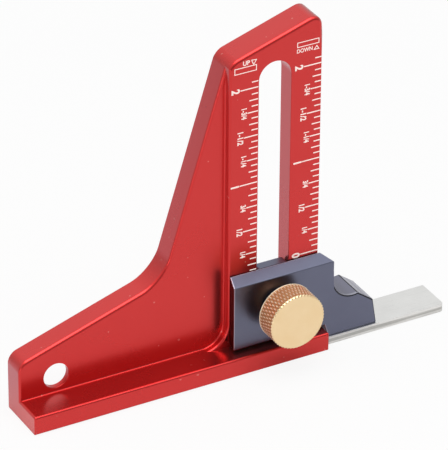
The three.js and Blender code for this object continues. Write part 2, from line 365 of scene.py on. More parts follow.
def darkAnodised():
    # the slider's edge attribute is 1 on pale rims, worn and with a painted highlight, 0.5 on dark
    # rims with painted shade, 0.3 on the left side with painted shade, and 0.1 on the foot's hollow
    # and slope, painted paler as a reflection
    look = {"deep": colour(96, 99, 119), "pale": colour(107, 110, 131),
            "worn": colour(158, 158, 172), "side": colour(30, 29, 33), "shade": colour(24, 24, 30),
            "paintedReflection": colour(122, 122, 138), "strip": colour(160, 161, 172),
            "tint": (0.9, 0.9, 0.95, 1), "cloud": 160, "grain": 3200, "bump": 0.25,
            "roughness": 0.34, "spread": 0.1, "coat": 0.6, "coatRoughness": 0.3, "coatIor": 1.45,
            "lineShare": 0.9}
    material, wire = newMaterial("dark_anodised")
    place = objectPlace(wire)
    edge = wire.add("ShaderNodeAttribute", {"attribute_name": "edge"}, output=2)
    base, rough = clouded(wire, place, look, 5)
    # painted reflection: the foot's hollow and slope are paler
    base = blend(wire, edge > 0.05, base, look["paintedReflection"])
    dim, strips = footLines(wire, place)
    # painted highlight strips on the foot's hollow and slope
    base = blend(wire, strips * (edge > 0.05), base, look["strip"])
    # painted dark reflection along the foot's upper front edges
    base = blend(wire, dim * look["lineShare"], base, look["shade"])
    rim = edge > 0.4
    # painted shade: the plate's left side is near black
    side = (edge > 0.2) * (1 - rim)
    base = blend(wire, side, base, look["side"])
    # painted shade on the dark rims
    base = blend(wire, rim, base, look["shade"])
    # pale rims: real wear with a painted highlight
    base = blend(wire, edge > 0.9, base, look["worn"])
    finishShader(wire, {"Base Color": base, "Metallic": 1.0, "Specular Tint": look["tint"],
                        "Roughness": rough, "Coat Weight": look["coat"] - side * look["coat"],
                        "Coat Roughness": look["coatRoughness"], "Coat IOR": look["coatIor"],
                        "Normal": grained(wire, place, look)})
    return material


def footLines(wire, place):
    # painted dark reflection along the upper edge of the foot's front, and painted highlight beside
    # that edge and on the slope
    size = sliderSizes
    centre = toRow @ Vector((size["right"] + size["scoop"], size["front"], size["scoopHeight"]))
    along, deep, height = ((value - middle) * (1 / mm) for value, middle
                           in zip(axesOf(wire, place), centre))
    radius = lengthOf(wire, along, height) - size["scoop"]
    crest = Vector((size["crest"], -math.sqrt(size["scoop"] ** 2 - size["crest"] ** 2)))
    end = Vector((size["footLength"] - size["draft"] - size["scoop"],
                  size["endHeight"] - size["scoopHeight"]))
    slope = (end - crest).normalized()
    drop = (along - crest.x) * slope.y - (height - crest.y) * slope.x
    line = size["darkLine"]
    beyond = along > crest.x
    under = (1 - (height > crest.y + size["lineTop"])) * (1 - (radius > line)) * (radius > 0)
    below = (1 - (drop > line)) * (drop > 0)
    front = 1 - (deep > size["lineDepth"])
    dim = front * (under * (1 - beyond) + below * beyond)
    strip = sweep(wire, deep, *size["stripEdge"], 0, 1) * (1 - beyond)
    ends = [crest.x + reach for reach in size["ribbonEnds"]]
    ribbon = sweep(wire, along, *ends[:2], 1, 0) + sweep(wire, along, *ends[2:], 0, 1)
    return dim * (along > -size["scoop"]), strip + ribbon * beyond


def groundSteel():
    # the top is ground bright, and the sides below it are duller and streaked lengthwise, with a
    # darker band at mid height painted as shade
    look = {"deep": colour(222, 222, 220), "pale": colour(240, 240, 238),
            "side": colour(238, 237, 234), "streak": colour(186, 185, 181), "patches": 180,
            "strokes": (60, 4000, 4000), "streaks": (45, 900, 900), "band": (0.28, 0.45, 0.8, 0.62),
            "bandShare": 0.8, "contrast": 4, "offset": 1.2, "skin": 0.06, "roughness": 0.3,
            "spread": 0.16, "bump": 0.3}
    material, wire = newMaterial("ground_steel")
    place = objectPlace(wire)
    strokes = noise(wire, objectPlace(wire, look["strokes"]), 1, 3)
    streaks = noise(wire, objectPlace(wire, look["streaks"]), 1, 2) * look["contrast"]
    patches = noise(wire, place, look["patches"], 4)
    height = axesOf(wire, place)[2]
    top = height > (barHigh.z - look["skin"]) * mm
    share = height * (1 / (barHigh.z * mm))
    band = sweep(wire, share, *look["band"][:2], 0, 1) * sweep(wire, share, *look["band"][2:], 0, 1)
    pale = streaks - look["offset"] - band * look["bandShare"]
    side = blend(wire, pale, look["streak"], look["side"])
    base = blend(wire, top, side, blend(wire, patches, look["deep"], look["pale"]))
    finishShader(wire, {"Base Color": base, "Metallic": 1.0,
                        "Roughness": look["roughness"] - look["spread"] / 2
                        + strokes * look["spread"],
                        "Normal": fineBump(wire, look, strokes)})
    return material


def plainSteel():
    look = {"deep": colour(150, 150, 148), "pale": colour(182, 181, 176), "cloud": 500,
            "roughness": 0.34, "spread": 0.12}
    material, wire = newMaterial("plain_steel")
    base, rough = clouded(wire, objectPlace(wire), look)
    finishShader(wire, {"Base Color": base, "Metallic": 1.0, "Roughness": rough})
    return material


def blackNylon():
    look = {"deep": colour(24, 24, 27), "pale": colour(38, 38, 41), "cloud": 900,
            "roughness": 0.55, "spread": 0.1}
    material, wire = newMaterial("black_nylon")
    base, rough = clouded(wire, objectPlace(wire), look, 3)
    finishShader(wire, {"Base Color": base, "Roughness": rough})
    return material


def turnedBrass():
    # the knurl's grooves are painted browner, as shade, and its tips paler, as highlight, than the
    # turned faces
    look = {"deep": colour(244, 212, 160), "pale": colour(253, 228, 186),
            "groove": colour(188, 134, 82), "tip": colour(255, 244, 220), "cloud": 260,
            "grain": 3000, "bump": 0.2, "roughness": 0.3, "spread": 0.1, "dull": 0.65}
    material, wire = newMaterial("turned_brass")
    place = objectPlace(wire)
    face, rough = clouded(wire, place, look)
    across, deep, height = axesOf(wire, place)
    centre = toRow @ Vector((knobSizes["x"], knobSizes["front"], knobSizes["height"]))
    radius = lengthOf(wire, across - centre.x, height - centre.z) * (1 / mm)
    inside = radius - (knobSizes["radius"] - knobSizes["depth"])
    crest = wire.maths("MINIMUM", wire.maths("MAXIMUM", inside * (1 / knobSizes["depth"]), 0), 1)
    knurled = deep > centre.y + (knobSizes["chamfer"] - 2 * near) * mm
    base = blend(wire, knurled, face, blend(wire, crest * crest, look["groove"], look["tip"]))
    finishShader(wire, {"Base Color": base, "Metallic": 1 - knurled * look["dull"],
                        "Roughness": rough, "Normal": grained(wire, place, look)})
    return material


def whiteFill():
    # the marks glow a little: painted light that lifts their white above what the lamps give
    look = {"deep": colour(248, 222, 214), "pale": colour(255, 240, 234), "cloud": 1500,
            "roughness": 0.55, "glow": 0.22}
    material, wire = newMaterial("white_fill")
    cloud = noise(wire, objectPlace(wire), look["cloud"], 3)
    base = blend(wire, cloud, look["deep"], look["pale"])
    finishShader(wire, {"Base Color": base, "Metallic": 0.0, "Roughness": look["roughness"],
                        "Emission Color": base, "Emission Strength": look["glow"]})
    return material


red = redAnodised()
zinc = plainSteel()
nylon = blackNylon()
white = whiteFill()
print("materials made")


# Body: web, column and ledge joined, then the slot and the hanging hole cut

def outlineCorners():
    size = bodySizes
    left, right, top, slope = 0, size["length"], size["height"], size["topSlope"]
    return [(left, 0, 0), (right, 0, 0), (right, top, size["peakRound"]),
            (size["shoulderX"], top - slope * (right - size["shoulderX"]), size["shoulderRound"]),
            (size["bendX"], size["endHeight"] + slope * size["bendX"], size["bendRound"]),
            (left, size["endHeight"], size["endRound"])]


# each rise is the stretch over which the web's front rim changes its width
bodyTop = measured("body_frame")[1]
bodySizes = {"length": bodyTop.x, "depth": bodyTop.y, "height": 89.1, "endHeight": 14.6,
             "topSlope": 0.322, "bendX": 38.1, "shoulderX": 54.8, "endRound": 3.2,
             "bendRound": 11.5, "shoulderRound": 3.8, "peakRound": 2.6, "rim": 0.9,
             "sideRim": 0.6, "backRim": 0.2, "endRim": 0.3, "coveredRim": 0.02,
             "endRise": (12.5, 15.4), "bendRise": (-42, -33), "shoulderRise": (79, 82),
             "peakRise": (77, 78.9), "webFront": 8.0, "columnFront": 6.05, "columnLeft": 54.4,
             "columnDepth": 5, "ledgeHeight": 4.8, "pocketRound": 6.1, "fillet": 0.35,
             "filletTop": 75.0, "filletEnd": 79.2, "slopeFrom": 79.5}


def rimShare(edge):
    # how much of the full rim an edge of the column or the ledge gets
    ends = [vert.co for vert in edge.verts]
    full = bodySizes["rim"]
    if all(end.x > bodySizes["length"] - near for end in ends) or all(end.z < near for end in ends):
        return bodySizes["endRim"] / full
    if min(end.z for end in ends) > bodySizes["slopeFrom"]:
        return 1
    return bodySizes["sideRim"] / full


def roundRims(name, bm, degrees, where):
    weight = bm.edges.layers.float.new("bevel_weight_edge")
    for edge in sharpEdges(bm, degrees, where):
        edge[weight] = rimShare(edge)
    made = makeObject(name, bm)
    bevel = made.modifiers.new("rims", "BEVEL")
    bevel.limit_method = "WEIGHT"
    bevel.width = bodySizes["rim"]
    bevel.segments = 4
    applyModifiers(made)
    return made


def rising(value, low, high):
    return min(1, max(0, (value - low) / (high - low)))


def rimWidth(place):
    # full on the two slopes, slight at the right end, and almost none under the ledge
    size = bodySizes
    if place.z < near:
        return size["coveredRim"]
    slope = rising(place.z, *size["endRise"]) * rising(-place.x, *size["bendRise"])
    slope = max(slope, rising(place.z, *size["shoulderRise"]))
    width = size["sideRim"] + (size["rim"] - size["sideRim"]) * slope
    return width + (size["endRim"] - width) * rising(place.x, *size["peakRise"])


def corePiece():
    # the web in its outline, with a point where the ledge's block covers its ends
    front, back, small = bodySizes["webFront"], bodySizes["depth"], bodySizes["backRim"]
    corners, outline = outlinePoints(outlineCorners(), 10), []
    covered = bodySizes["ledgeHeight"] - 1
    for here, after in zip(corners, corners[1:] + corners[:1]):
        outline.append(here)
        if (here.z - covered) * (after.z - covered) < 0:
            outline.append(here.lerp(after, (covered - here.z) / (after.z - here.z)))
    widths = [rimWidth(place) for place in outline]
    rings = [([width * (1 - aside) for width in widths],
              [front + width * (1 - deep) for width in widths]) for deep, aside in quarter(5)]
    rings += [(0, back - small), (small * 0.3, back - small * 0.3), (small, back)]
    return ringPiece("gauge_body", outline, rings)


def ledgePiece():
    # its back end is buried in the web
    length, top = bodySizes["length"], bodySizes["ledgeHeight"]
    bm = bmesh.new()
    face = pathFace(bm, [(0, 0, 0), (length, 0, 0), (length, 0, top), (0, 0, top)])
    thicken(bm, [face], (0, bodySizes["webFront"] + 1, 0))

    def shows(edge):
        inFront = [vert.co.y < near for vert in edge.verts]
        return all(inFront) or any(inFront) and all(vert.co.z > top - near for vert in edge.verts)

    return roundRims("ledge", bm, 30, shows)


def quarterArc(centre, radius, steps):
    # from straight below the centre to its right
    return [Vector(centre) + radius * Vector((aside, 0, -deep)) for deep, aside in quarter(steps)]


def columnFace(bm):
    # the part of the outline right of the column's left side, with the pocket's round corner
    front, left = bodySizes["columnFront"], bodySizes["columnLeft"]
    pocket, ledge = bodySizes["pocketRound"], bodySizes["ledgeHeight"]
    outlineFace(bm, outlineCorners(), front)
    cutPlane(bm, (0, 0, ledge / 2), (0, 0, -1), True)
    for x in (left - pocket, left):
        cutPlane(bm, (x, 0, 0), (1, 0, 0))
    outside = [face for face in bm.faces if face.calc_center_median().x < left - pocket]
    bmesh.ops.delete(bm, geom=outside, context="FACES")
    strip = min(bm.faces, key=lambda face: face.calc_center_median().x)
    outer = splitUpright(left - pocket, ledge, strip)
    inner = splitUpright(left, ledge + pocket, strip)
    arc = quarterArc((left - pocket, front, ledge + pocket), pocket, 12)[1:-1]
    bmesh.utils.face_split(strip, outer, inner, coords=arc)
    top = max((f for f in bm.faces if f.calc_center_median().x < left),
              key=lambda face: face.calc_center_median().z)
    bmesh.ops.delete(bm, geom=[top], context="FACES")
    seam = [edge for edge in bm.edges if len(edge.link_faces) == 2]
    bmesh.ops.dissolve_edges(bm, edges=seam, use_verts=False)
    return bm.faces[:]


def splitUpright(x, height, face):
    # adds a vertex at that height on the face's upright edge at x
    for edge in face.edges:
        low, high = sorted(edge.verts, key=lambda vert: vert.co.z)
        upright = all(abs(vert.co.x - x) < near for vert in edge.verts)
        if upright and low.co.z < height < high.co.z:
            share = (height - low.co.z) / (high.co.z - low.co.z)
            return bmesh.utils.edge_split(edge, low, share)[1]
    raise ValueError(f"no upright edge at {x}")


def columnPiece():
    # stands in front of the web, and its back end is buried in it
    front = bodySizes["columnFront"]
    bm = bmesh.new()
    thicken(bm, columnFace(bm), (0, bodySizes["columnDepth"], 0))
    return roundRims("column", bm, 60,
                     lambda edge: all(abs(vert.co.y - front) < near for vert in edge.verts))


def filletPiece():
    # the small hollow round along the ledge, in the pocket's corner and up the column's side
    radius, sunk, first = bodySizes["fillet"], 0.05, bodySizes["sideRim"]
    web, ledge = bodySizes["webFront"], bodySizes["ledgeHeight"]
    start = bodySizes["columnLeft"] - bodySizes["pocketRound"] + near
    bm = bmesh.new()
    arc = [(first, web - radius + spot.x, ledge + radius + spot.z)
           for spot in quarterArc((0, 0, 0), radius, 4)]
    section = [(first, web - radius, ledge - sunk), *arc, (first, web + sunk, ledge + radius),
               (first, web + sunk, ledge - sunk)]
    end = thicken(bm, [pathFace(bm, section)], (start - first, 0, 0))
    turn = (start, 0, ledge + bodySizes["pocketRound"])
    last = newFaces(bmesh.ops.spin(bm, geom=end, cent=turn, axis=(0, -1, 0), steps=12,
                                   angle=math.pi / 2, use_merge=False)["geom_last"])
    bmesh.ops.delete(bm, geom=end, context="FACES_ONLY")
    last = lengthen(bm, last, (0, 0, bodySizes["filletTop"] - turn[2]))
    last = lengthen(bm, last, (0, 0, bodySizes["filletEnd"] - bodySizes["filletTop"]))
    corner = Vector((bodySizes["columnLeft"] + sunk, web + sunk, bodySizes["filletEnd"]))
    bmesh.ops.scale(bm, verts=cornersOf(last), vec=(0.1, 0.1, 1),
                    space=Matrix.Translation(-corner))
    bmesh.ops.remove_doubles(bm, verts=bm.verts, dist=weld)
    bmesh.ops.recalc_face_normals(bm, faces=bm.faces)
    return makeObject("fillet", bm)


slotSizes = {"x": 66.5, "width": 8.6, "bottom": 5.8, "top": 79.275, "groove": 12.8,
             "grooveFront": 10.95, "rim": 0.15}
holeSizes = {"x": 9.7, "z": 9.15, "width": 6.5, "rim": 0.2, "relief": 10.8,
             "reliefFront": 9.5, "reliefRight": 1.3, "reliefDrop": 1.6}


def openingPiece(name, corners, face, back, rim):
    # a cutter through the body, whose mouth widens in a quarter round
    mouth = [(rim * (deep - 1), face + rim * (1 - aside)) for deep, aside in quarter(4)]
    return ringPiece(name, outlinePoints(corners, 16), [(0, back), *mouth, (-rim, face - 1)])


def roundBar(x, low, high, width, radius=None):
    # an upright bar's corners, half round at its ends unless a radius is given
    half = width / 2
    radius = radius or half
    return [(x - half, low, radius), (x + half, low, radius), (x + half, high, radius),
            (x - half, high, radius)]


def platePiece(name, corners, front, back, segments=16):
    bm = bmesh.new()
    outlineFace(bm, corners, front, segments)
    thicken(bm, bm.faces[:], (0, back - front, 0))
    return makeObject(name, bm)


def buildBody():
    body = corePiece()
    for part in (ledgePiece(), columnPiece(), filletPiece()):
        combine(body, part, "UNION")
    slot, hole = slotSizes, holeSizes
    past = bodySizes["depth"] + 1
    spare = (slot["groove"] - slot["width"]) / 2
    low, high = hole["z"] - hole["width"] / 2, hole["z"] + hole["width"] / 2
    reliefX, reliefZ = hole["x"] + hole["reliefRight"], hole["z"] - hole["reliefDrop"]
    reliefHalf = hole["relief"] / 2
    cutters = [
        openingPiece("slot", roundBar(slot["x"], slot["bottom"], slot["top"], slot["width"]),
                     bodySizes["columnFront"], past, slot["rim"]),
        platePiece("groove", roundBar(slot["x"], slot["bottom"] - spare, slot["top"] + spare,
                                       slot["groove"]), slot["grooveFront"], past),
        openingPiece("hole", roundBar(hole["x"], low, high, hole["width"]),
                     bodySizes["webFront"], past, hole["rim"]),
        platePiece("relief", roundBar(reliefX, reliefZ - reliefHalf, reliefZ + reliefHalf,
                                       hole["relief"]), hole["reliefFront"], past)]
    for cutter in cutters:
        combine(body, cutter, "DIFFERENCE")
    return finishPiece(body, red, "body", ["body_frame"])


gaugeBody = buildBody()
print("body made")


# Slider: plate, key and foot in one block, then the holes

def sliderOutline():
    # the foot's front outline with the scoop's arc between its crest and the plate
    size, front = sliderSizes, sliderSizes["front"]
    scoop = size["scoop"]
    centre = Vector((size["right"] + scoop, front, size["scoopHeight"]))
    crest = math.asin(size["crest"] / scoop)
    turn = math.pi / 2 + crest
    arc = [centre + Vector((scoop * math.sin(angle), 0, -scoop * math.cos(angle)))
           for angle in (crest - turn * step / 16 for step in range(17))]
    foot, left = size["barTop"], size["footLeft"]
    return [(left + size["cornerInset"], front, foot),
            (size["right"] + size["footLength"], front, foot),
            (size["right"] + size["footLength"] - size["draft"], front, size["endHeight"]),
            *arc, (size["right"], front, size["cheek"]), (left, front, size["cheek"]),
            (left, front, size["bottom"])]


def sliderPlate():
    # a box whose right side slants, and whose front leans back at the top
    size = sliderSizes
    bm = bmesh.new()
    bmesh.ops.create_cube(bm, size=1)
    for vert in bm.verts:
        front = vert.co.y < 0
        left = size["leftFront"] if front else size["leftBack"]
        right = size["right"] if front else size["rightBack"]
        vert.co = Vector((left if vert.co.x < 0 else right,
                          size["front"] if front else size["back"],
                          size["bottom"] if vert.co.z < 0 else size["reading"]))
    lean = size["reading"] - size["frontTop"]
    deep = size["back"] - size["front"]
    cutPlane(bm, (0, size["front"], size["frontTop"]), (0, -lean, deep), True)
    bmesh.ops.holes_fill(bm, edges=[edge for edge in bm.edges if edge.is_boundary])
    bmesh.ops.recalc_face_normals(bm, faces=bm.faces)
    return makeObject("slider", bm)


def footPiece():
    bm = bmesh.new()
    pathFace(bm, sliderOutline())
    bmesh.ops.remove_doubles(bm, verts=bm.verts, dist=near)
    thicken(bm, bm.faces[:], (0, sliderSizes["footBack"] - sliderSizes["front"], 0))
    return makeObject("foot", bm)


def keyPiece():
    size = sliderSizes
    corners = roundBar(slotSizes["x"], size["keyBottom"], size["reading"], size["keyWidth"],
                       size["keyRound"])
    return platePiece("key", corners, size["back"] - 0.02, size["keyBack"], 5)


def rodPiece(name, radius, low, high):
    # a rod on the clamp's axis
    bm = bmesh.new()
    profile = [(0, low), (radius, low), (radius, high), (0, high)]
    spinProfile(bm, profile, "y", clampAxis, 64)
    return makeObject(name, bm)


def screwProfile(gap, sink):
    shank = screwSizes["width"] / 2 + gap
    head = screwSizes["head"] / 2 + gap
    reach, tip = screwSizes["reach"] + gap, screwSizes["tip"]
    land = sink + screwSizes["land"]
    return [(0, sink), (head, sink), (head, land), (shank, land + head - shank),
            (shank, reach - tip), (shank - tip, reach), (0, reach)]


def screwCutters():
    cutters = []
    for x in screwSizes["places"]:
        bm = bmesh.new()
        spinProfile(bm, screwProfile(screwSizes["gap"], -1), "z", (x, screwSizes["y"], 0), 48)
        cutters.append(makeObject("screw_hole", bm))
    return cutters


def rimWear(face):
    # 1 for a pale rim, worn and with a painted highlight, 0.5 for a dark one with painted
    # shade: the plate's left and top rims shine
    place, normal = face.calc_center_median(), face.normal
    if place.x < sliderSizes["right"] + 0.1:
        return float(normal.x < -0.3 or normal.z > 0.8)
    if normal.z < -0.1:
        return 0
    shiny = normal.z > 0.1 and (-0.6 < normal.y < -0.2 or normal.y > 0.2)
    return 1 if shiny else 0.5


def sideWear(face):
    # 0.3 paints shade on the plate's left side, and 0.1 paints the foot's hollow and slope paler as
    # a reflection
    place, normal = face.calc_center_median(), face.normal
    if normal.x < -0.9 and place.x < slotSizes["x"]:
        return 0.3
    onFoot = place.x > sliderSizes["right"] and place.z > sliderSizes["endHeight"]
    return 0.1 if onFoot and normal.z > 0.05 else 0


def buildSlider():
    slider = sliderPlate()
    combine(slider, footPiece(), "UNION")
    bm = bmesh.new()
    bm.from_mesh(slider.data)
    bmesh.ops.remove_doubles(bm, verts=bm.verts, dist=near)
    bmesh.ops.dissolve_limit(bm, angle_limit=math.radians(0.5), verts=bm.verts, edges=bm.edges)
    wearAndPaintedLight = bm.faces.layers.float.new("edge")
    rims = set(softenEdges(bm, sharpEdges(bm, 25), sliderSizes["edge"], 2))
    bm.normal_update()
    for face in bm.faces:
        face[wearAndPaintedLight] = rimWear(face) if face in rims else sideWear(face)
    bm.to_mesh(slider.data)
    bm.free()
    combine(slider, keyPiece(), "UNION")
    hole = rodPiece("stud_hole", sliderSizes["studHole"], -1, bodySizes["depth"])
    for cutter in (hole, *screwCutters()):
        combine(slider, cutter, "DIFFERENCE")
    return finishPiece(slider, dark, "slider", ["slider_block"])


knobFront, knobBack = measured("clamp_knob")
screwBoxes = [measured(node) for node in ("bar_screw_1", "bar_screw_2")]
barLow, barHigh = measured("measuring_bar")
sliderLow, sliderHigh = measured("slider_block")
knobSizes = {"x": (knobFront.x + knobBack.x) / 2, "height": (knobFront.z + knobBack.z) / 2,
             "radius": (knobBack.z - knobFront.z) / 2,
             "front": knobFront.y, "hubEnd": knobBack.y, "thickness": 6.1, "hub": 4.3,
             "chamfer": 0.3, "backRim": 0.3, "lip": 0.1, "hubRim": 0.3, "bore": 2.43,
             "boreDepth": 1.5, "diamonds": 52, "depth": 0.28, "stretch": 2.75, "fade": 0.2,
             "crest": 1.05, "steps": 8, "rows": 48}
clampAxis = (knobSizes["x"], 0, knobSizes["height"])
screwSizes = {"width": 2.9, "head": 5.4, "sink": 0.1, "reach": screwBoxes[0][1].z, "tip": 0.4,
              "land": 0.12, "gap": 0.1, "hex": 2.3, "hexDepth": 0.9, "worn": 0.06,
              "y": (screwBoxes[0][0].y + screwBoxes[0][1].y) / 2,
              "places": [(low.x + high.x) / 2 for low, high in screwBoxes]}
sliderSizes = {"front": sliderLow.y, "back": 5.85, "bottom": 5.5, "reading": sliderHigh.z,
               "frontTop": 22.75, "leftFront": sliderLow.x, "leftBack": 54.8, "right": 81.7,
               "rightBack": 79.3, "footLeft": 79.3, "barTop": barHigh.z, "footLength": 12.1,
               "draft": 1.1, "endHeight": 9.0, "scoop": 5.3, "scoopHeight": 17.2,
               "crest": 1.45, "cheek": 20.0, "cornerInset": 1.1, "footBack": sliderHigh.y,
               "keyBottom": 9.0, "keyBack": 8.2, "keyWidth": 8.2, "keyRound": 0.8,
               "studHole": 2.7, "edge": 0.24, "darkLine": 0.42, "lineTop": 3.4,
               "lineDepth": 0.08, "stripEdge": (0.75, 0.45), "ribbonEnds": (1.3, 1.6, 2.3, 2.6)}
dark = darkAnodised()
slider = buildSlider()
print("slider made")


# Measuring bar with its countersunk screw holes

def buildBar():
    bm = boxMesh(barLow, barHigh)
    for y, radius in ((barLow.y, barSizes["frontCorner"]), (barHigh.y, barSizes["backCorner"])):
        corner = [edge for edge in bm.edges
                  if all(abs(vert.co.x - barHigh.x) + abs(vert.co.y - y) < near
                         for vert in edge.verts)]
        softenEdges(bm, corner, radius, 6)
    softenEdges(bm, sharpEdges(bm, 30), barSizes["edge"], 2)
    bar = makeObject("measuring_bar_ground", bm)
    for cutter in screwCutters():
        combine(bar, cutter, "DIFFERENCE")
    return finishPiece(bar, ground, "slider", ["measuring_bar"])


ground = groundSteel()
barSizes = {"frontCorner": 1.1, "backCorner": 0.25, "edge": 0.12}
measuringBar = buildBar()


# Bar screws, countersunk, with a hexagon socket

def buildScrew(index):
    x = screwSizes["places"][index]
    bm = bmesh.new()
    spinProfile(bm, screwProfile(0, screwSizes["sink"]), "z", (x, screwSizes["y"], 0), 48)
    screw = makeObject(f"bar_screw_{index + 1}_turned", bm)
    bm = bmesh.new()
    radius = screwSizes["hex"] / 2
    bmesh.ops.create_cone(bm, cap_ends=True, segments=6, radius1=radius, radius2=radius,
                          depth=2 * screwSizes["hexDepth"])
    bmesh.ops.translate(bm, verts=bm.verts, vec=(x, screwSizes["y"], screwSizes["sink"]))
    combine(screw, makeObject("socket", bm), "DIFFERENCE")
    bevel = screw.modifiers.new("worn edges", "BEVEL")
    bevel.width = screwSizes["worn"]
    bevel.segments = 2
    bevel.limit_method = "ANGLE"
    applyModifiers(screw)
    return finishPiece(screw, zinc, "slider", [f"bar_screw_{index + 1}"])


screws = [buildScrew(index) for index in range(len(screwSizes["places"]))]
print("bar and screws made")


# Clamp: knurled knob, threaded stud, washer and oblong nut

def knurl(bm):
    # two crossing sets of grooves leave diamonds between them
    size = knobSizes
    low = size["front"] + size["chamfer"]
    high = size["front"] + size["thickness"] - size["backRim"]
    pitch = math.tau / size["diamonds"]
    around = pitch * size["radius"]
    for vert in bm.verts:
        radius = math.hypot(vert.co.x, vert.co.z)
        if radius < size["radius"] - near or not low - near <= vert.co.y <= high + near:
            continue
        turn = math.atan2(vert.co.z, vert.co.x) / pitch
        along = (vert.co.y - low) / (around * size["stretch"])
        height = min(ridge(turn + along), ridge(turn - along))
        fade = min(1, 0.5 + (vert.co.y - low) / size["fade"], (high - vert.co.y) / size["fade"])
        sunk = size["depth"] * (1 - height) * max(0, fade)
        scale = (radius - sunk) / radius
        vert.co.x *= scale
        vert.co.z *= scale


def ridge(value):
    # 1 along the middle of each ridge, 0 at the bottom of each groove, with a flat crest
    share = abs(2 * (value - math.floor(value)) - 1)
    return min(1, share * knobSizes["crest"])


def buildKnob():
    size = knobSizes
    radius, front, lip, rows = size["radius"], size["front"], size["lip"], size["rows"]
    back, hub, end = front + size["thickness"], size["hub"], size["hubEnd"]
    low, high = front + size["chamfer"], back - size["backRim"]
    profile = [(0, front), (radius * 0.5, front), (radius * 0.9, front),
               (radius - size["chamfer"], front)]
    profile += [(radius, low + (high - low) * row / rows) for row in range(rows + 1)]
    profile += [(radius - lip, high + lip / 2), (radius - lip, back - 1.5 * lip),
                (radius - 2.5 * lip, back), (hub, back), (hub, end - size["hubRim"]),
                (hub - size["hubRim"], end), (size["bore"], end),
                (size["bore"], end - size["boreDepth"]), (0, end - size["boreDepth"])]
    bm = bmesh.new()
    spinProfile(bm, profile, "y", (0, 0, 0), size["diamonds"] * size["steps"])
    knurl(bm)
    bmesh.ops.translate(bm, verts=bm.verts, vec=clampAxis)
    knob = makeObject("clamp_knob_knurled", bm)
    return finishPiece(knob, brass, "knob", ["clamp_knob"], 50)


brass = turnedBrass()
clampKnob = buildKnob()


def buildStud():
    # a turned rod whose surface is cut to a helix by a formula
    low, high = measured("clamp_stud")
    radius = (high.z - low.z) / 2
    pitch, depth, rows = studSizes["pitch"], studSizes["depth"], studSizes["rows"]
    length = high.y - low.y
    profile = [(0, low.y), (radius - depth, low.y)]
    profile += [(radius, low.y + length * row / rows) for row in range(1, rows)]
    profile += [(radius - depth, high.y), (0, high.y)]
    bm = bmesh.new()
    spinProfile(bm, profile, "y", (0, 0, 0), studSizes["sides"])
    for vert in bm.verts:
        if math.hypot(vert.co.x, vert.co.z) < radius - near:
            continue
        turn = vert.co.y / pitch + math.atan2(vert.co.z, vert.co.x) / math.tau
        share = 1 - depth / radius * abs(2 * (turn - math.floor(turn)) - 1)
        vert.co.x *= share
        vert.co.z *= share
    bmesh.ops.translate(bm, verts=bm.verts, vec=clampAxis)
    return finishPiece(makeObject("clamp_stud_threaded", bm), zinc, "knob",
                       ["clamp_stud"], 50)


studSizes = {"pitch": 0.8, "depth": 0.38, "rows": 136, "sides": 40}
clampStud = buildStud()


def buildWasher():
    low, high = measured("knob_washer")
    outer, inner, rim = (high.z - low.z) / 2, washerSizes["bore"], washerSizes["rim"]
    section = [(inner, low.y), (outer - rim, low.y), (outer, low.y + rim),
               (outer, high.y - rim), (outer - rim, high.y), (inner, high.y), (inner, low.y)]
    bm = bmesh.new()
    spinProfile(bm, section, "y", clampAxis, 72)
    return finishPiece(makeObject("knob_washer_flat", bm), nylon, "slider",
                       ["knob_washer"])


washerSizes = {"bore": 2.7, "rim": 0.15}
washer = buildWasher()


def buildNut():
    low, high = measured("clamp_nut")
    bm = boxMesh(low, high)
    upright = [edge for edge in bm.edges if abs(edge.verts[0].co.y - edge.verts[1].co.y) > near]
    softenEdges(bm, upright, nutSizes["corner"], 3)
    softenEdges(bm, sharpEdges(bm, 60), nutSizes["rim"], 2)
    nut = makeObject("clamp_nut_oblong", bm)
    combine(nut, rodPiece("bore", nutSizes["bore"], low.y - 1, high.y + 1), "DIFFERENCE")
    return finishPiece(nut, zinc, "nut", ["clamp_nut"])


nutSizes = {"corner": 0.5, "rim": 0.2, "bore": 2.5}
clampNut = buildNut()
print("clamp made")


# Scales: filled ticks, numbers and the two reading boxes on the column's face

# each kind of mark has its length, and a labelled one its figures' height, width and weight
scaleSizes = {"face": 6.05, "proud": 0.02, "sunk": 0.03, "inch": 25.4, "divisions": 16,
              "last": 33, "line": 0.29, "labelGap": 0.15, "ring": 0.2, "capShare": 0.73,
              "upZero": 23.0, "downZero": 25.13, "upEdge": 61.95, "downEdge": 78.75,
              "kinds": {16: (4.7, 2.2, 0.85, 0.11), 8: (3.65, 1.6, 0.8, 0.065),
                        4: (2.8, 1.45, 0.74, 0.065), 2: (2.3,), 1: (1.7,)}}


def markDepths():
    # where the marks begin, just proud of the column, and how thick they are
    return scaleSizes["face"] - scaleSizes["proud"], scaleSizes["proud"] + scaleSizes["sunk"]


def markBox(bm, low, high):
    # a thin plate on the column's face between two (x, z) corners
    made = bmesh.ops.create_cube(bm, size=1)["verts"]
    front, deep = markDepths()
    size = (high[0] - low[0], deep, high[1] - low[1])
    bmesh.ops.scale(bm, verts=made, vec=size)
    middle = ((low[0] + high[0]) / 2, front + deep / 2, (low[1] + high[1]) / 2)
    bmesh.ops.translate(bm, verts=made, vec=middle)


